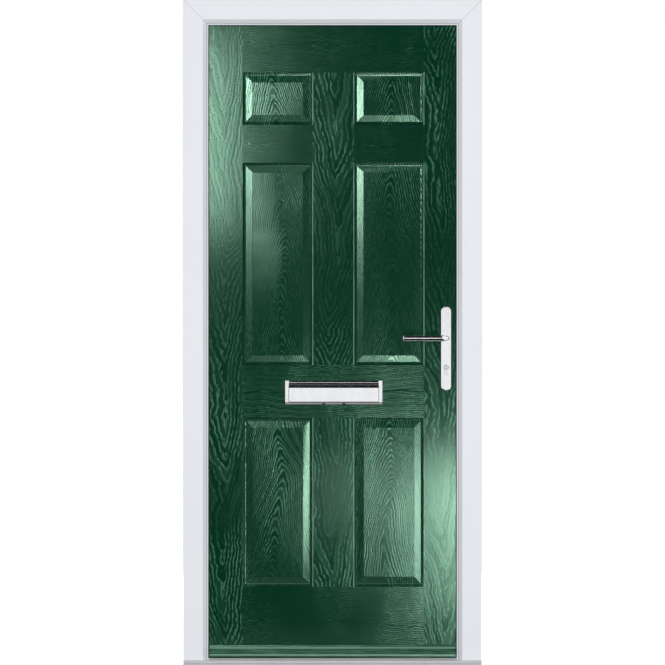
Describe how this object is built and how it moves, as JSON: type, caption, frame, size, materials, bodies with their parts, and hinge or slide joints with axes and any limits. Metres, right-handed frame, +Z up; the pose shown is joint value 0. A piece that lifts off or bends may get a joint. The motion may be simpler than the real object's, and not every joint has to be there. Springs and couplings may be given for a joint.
{
  "type": "panelled front door",
  "caption": "Six-panel front door leaf hung in its white frame on a low threshold, with lever handle, multipoint lock and letterplate.",
  "frame": {"origin": "middle of the threshold's underside, in the plane of the frame's outside face", "axes": "+Z up, +Y into the house, +X to the right as seen from outside"},
  "size_m": [0.94, 0.1586, 2.1],
  "materials": {
    "white_profile": "smooth extruded white, low gloss",
    "galvanised_steel": "galvanised, dull",
    "stainless_steel": "brushed",
    "aluminium": "mill finish, satin",
    "seal_rubber": "matt black",
    "green_skin": "wood-grained, satin gloss",
    "white_skin": "wood-grained, satin",
    "foam": "rigid foam",
    "timber": "laminated timber, sealed",
    "green_paint": "powder coated, satin",
    "white_metal": "powder coated",
    "chrome": "polished"
  },
  "bodies": {
    "frame": {"hinge_jamb": "white_profile", "lock_jamb": "white_profile", "frame_head": "white_profile", "hinge_jamb_reinforcement": "galvanised_steel", "lock_jamb_reinforcement": "galvanised_steel", "head_reinforcement": "galvanised_steel", "threshold": "aluminium", "threshold_end_blocks": "white_profile", "threshold_seal": "seal_rubber", "frame_seal": "seal_rubber", "centre_keep": "stainless_steel", "upper_hook_keep": "stainless_steel", "lower_hook_keep": "stainless_steel", "frame_screws": "stainless_steel", "hinge_pins": "stainless_steel", "lower_hinge_frame_flag": "white_metal", "middle_hinge_frame_flag": "white_metal", "upper_hinge_frame_flag": "white_metal"},
    "leaf": {"outer_skin": "green_skin", "inner_skin": "white_skin", "insulating_core": "foam", "hinge_stile": "timber", "lock_stile": "timber", "top_rail": "timber", "bottom_rail": "timber", "lock_block": "timber", "weatherbar": "green_paint", "lock_case": "galvanised_steel", "lock_faceplate": "stainless_steel", "upper_hook_case": "galvanised_steel", "lower_hook_case": "galvanised_steel", "outer_backplate": "chrome", "inner_backplate": "chrome", "handle_screws": "stainless_steel", "cylinder_body": "chrome", "cylinder_screw": "stainless_steel", "leaf_screws": "stainless_steel", "lower_hinge_leaf_flag": "white_metal", "middle_hinge_leaf_flag": "white_metal", "upper_hinge_leaf_flag": "white_metal", "letterplate_outer_frame": "chrome", "letterplate_inner_frame": "chrome", "letterplate_sleeve": "aluminium", "letterplate_screws": "stainless_steel", "flap_pins": "stainless_steel"},
    "handle": {"outer_lever": "chrome", "inner_lever": "chrome", "spindle": "galvanised_steel", "follower": "galvanised_steel"},
    "latch": {"latch_bolt": "stainless_steel"},
    "deadbolt": {"deadbolt": "stainless_steel"},
    "drive_rail": {"drive_rail": "galvanised_steel"},
    "upper_hook": {"upper_hook": "galvanised_steel"},
    "lower_hook": {"lower_hook": "galvanised_steel"},
    "key_cam": {"cylinder_plugs": "chrome", "cylinder_cam": "chrome"},
    "outer_flap": {"outer_flap": "chrome"},
    "inner_flap": {"inner_flap": "chrome"}
  },
  "joints": [
    {"name": "leaf_swing", "type": "hinge", "parent": "frame", "child": "leaf", "pos_m": [-0.41, 0.08, 1], "axis": [0, 0, 1], "range_deg": [0, 110]},
    {"name": "handle_turn", "type": "hinge", "parent": "leaf", "child": "handle", "pos_m": [0.3585, 0.047, 1.034], "axis": [0, 1, 0], "range_deg": [-45, 35], "stiffness_Nm_per_rad": 8},
    {"name": "latch_slide", "type": "slide", "parent": "leaf", "child": "latch", "axis": [1, 0, 0], "range_m": [0, 0.012]},
    {"name": "deadbolt_slide", "type": "slide", "parent": "leaf", "child": "deadbolt", "axis": [1, 0, 0], "range_m": [0, 0.02]},
    {"name": "drive_rail_slide", "type": "slide", "parent": "leaf", "child": "drive_rail", "axis": [0, 0, 1], "range_m": [0, 0.018]},
    {"name": "upper_hook_turn", "type": "hinge", "parent": "leaf", "child": "upper_hook", "pos_m": [0.389, 0.047, 1.619], "axis": [0, 1, 0], "range_deg": [0, 90.01]},
    {"name": "lower_hook_turn", "type": "hinge", "parent": "leaf", "child": "lower_hook", "pos_m": [0.389, 0.047, 0.429], "axis": [0, 1, 0], "range_deg": [0, 90.01]},
    {"name": "key_turn", "type": "hinge", "parent": "leaf", "child": "key_cam", "pos_m": [0.3585, 0.047, 0.942], "axis": [0, 1, 0], "continuous": true},
    {"name": "outer_flap_lift", "type": "hinge", "parent": "leaf", "child": "outer_flap", "pos_m": [0.004, 0.021, 0.88202], "axis": [-1, 0, 0], "range_deg": [0, 85], "stiffness_Nm_per_rad": 0.1, "springref_deg": -17.19},
    {"name": "inner_flap_lift", "type": "hinge", "parent": "leaf", "child": "inner_flap", "pos_m": [0.004, 0.073, 0.88202], "axis": [1, 0, 0], "range_deg": [0, 85], "stiffness_Nm_per_rad": 0.1, "springref_deg": -17.19}
  ],
  "couplings": [
    {"joint": "upper_hook_turn", "follows": "drive_rail_slide", "rad_per_m": 87.266},
    {"joint": "lower_hook_turn", "follows": "drive_rail_slide", "rad_per_m": 87.266}
  ]
}
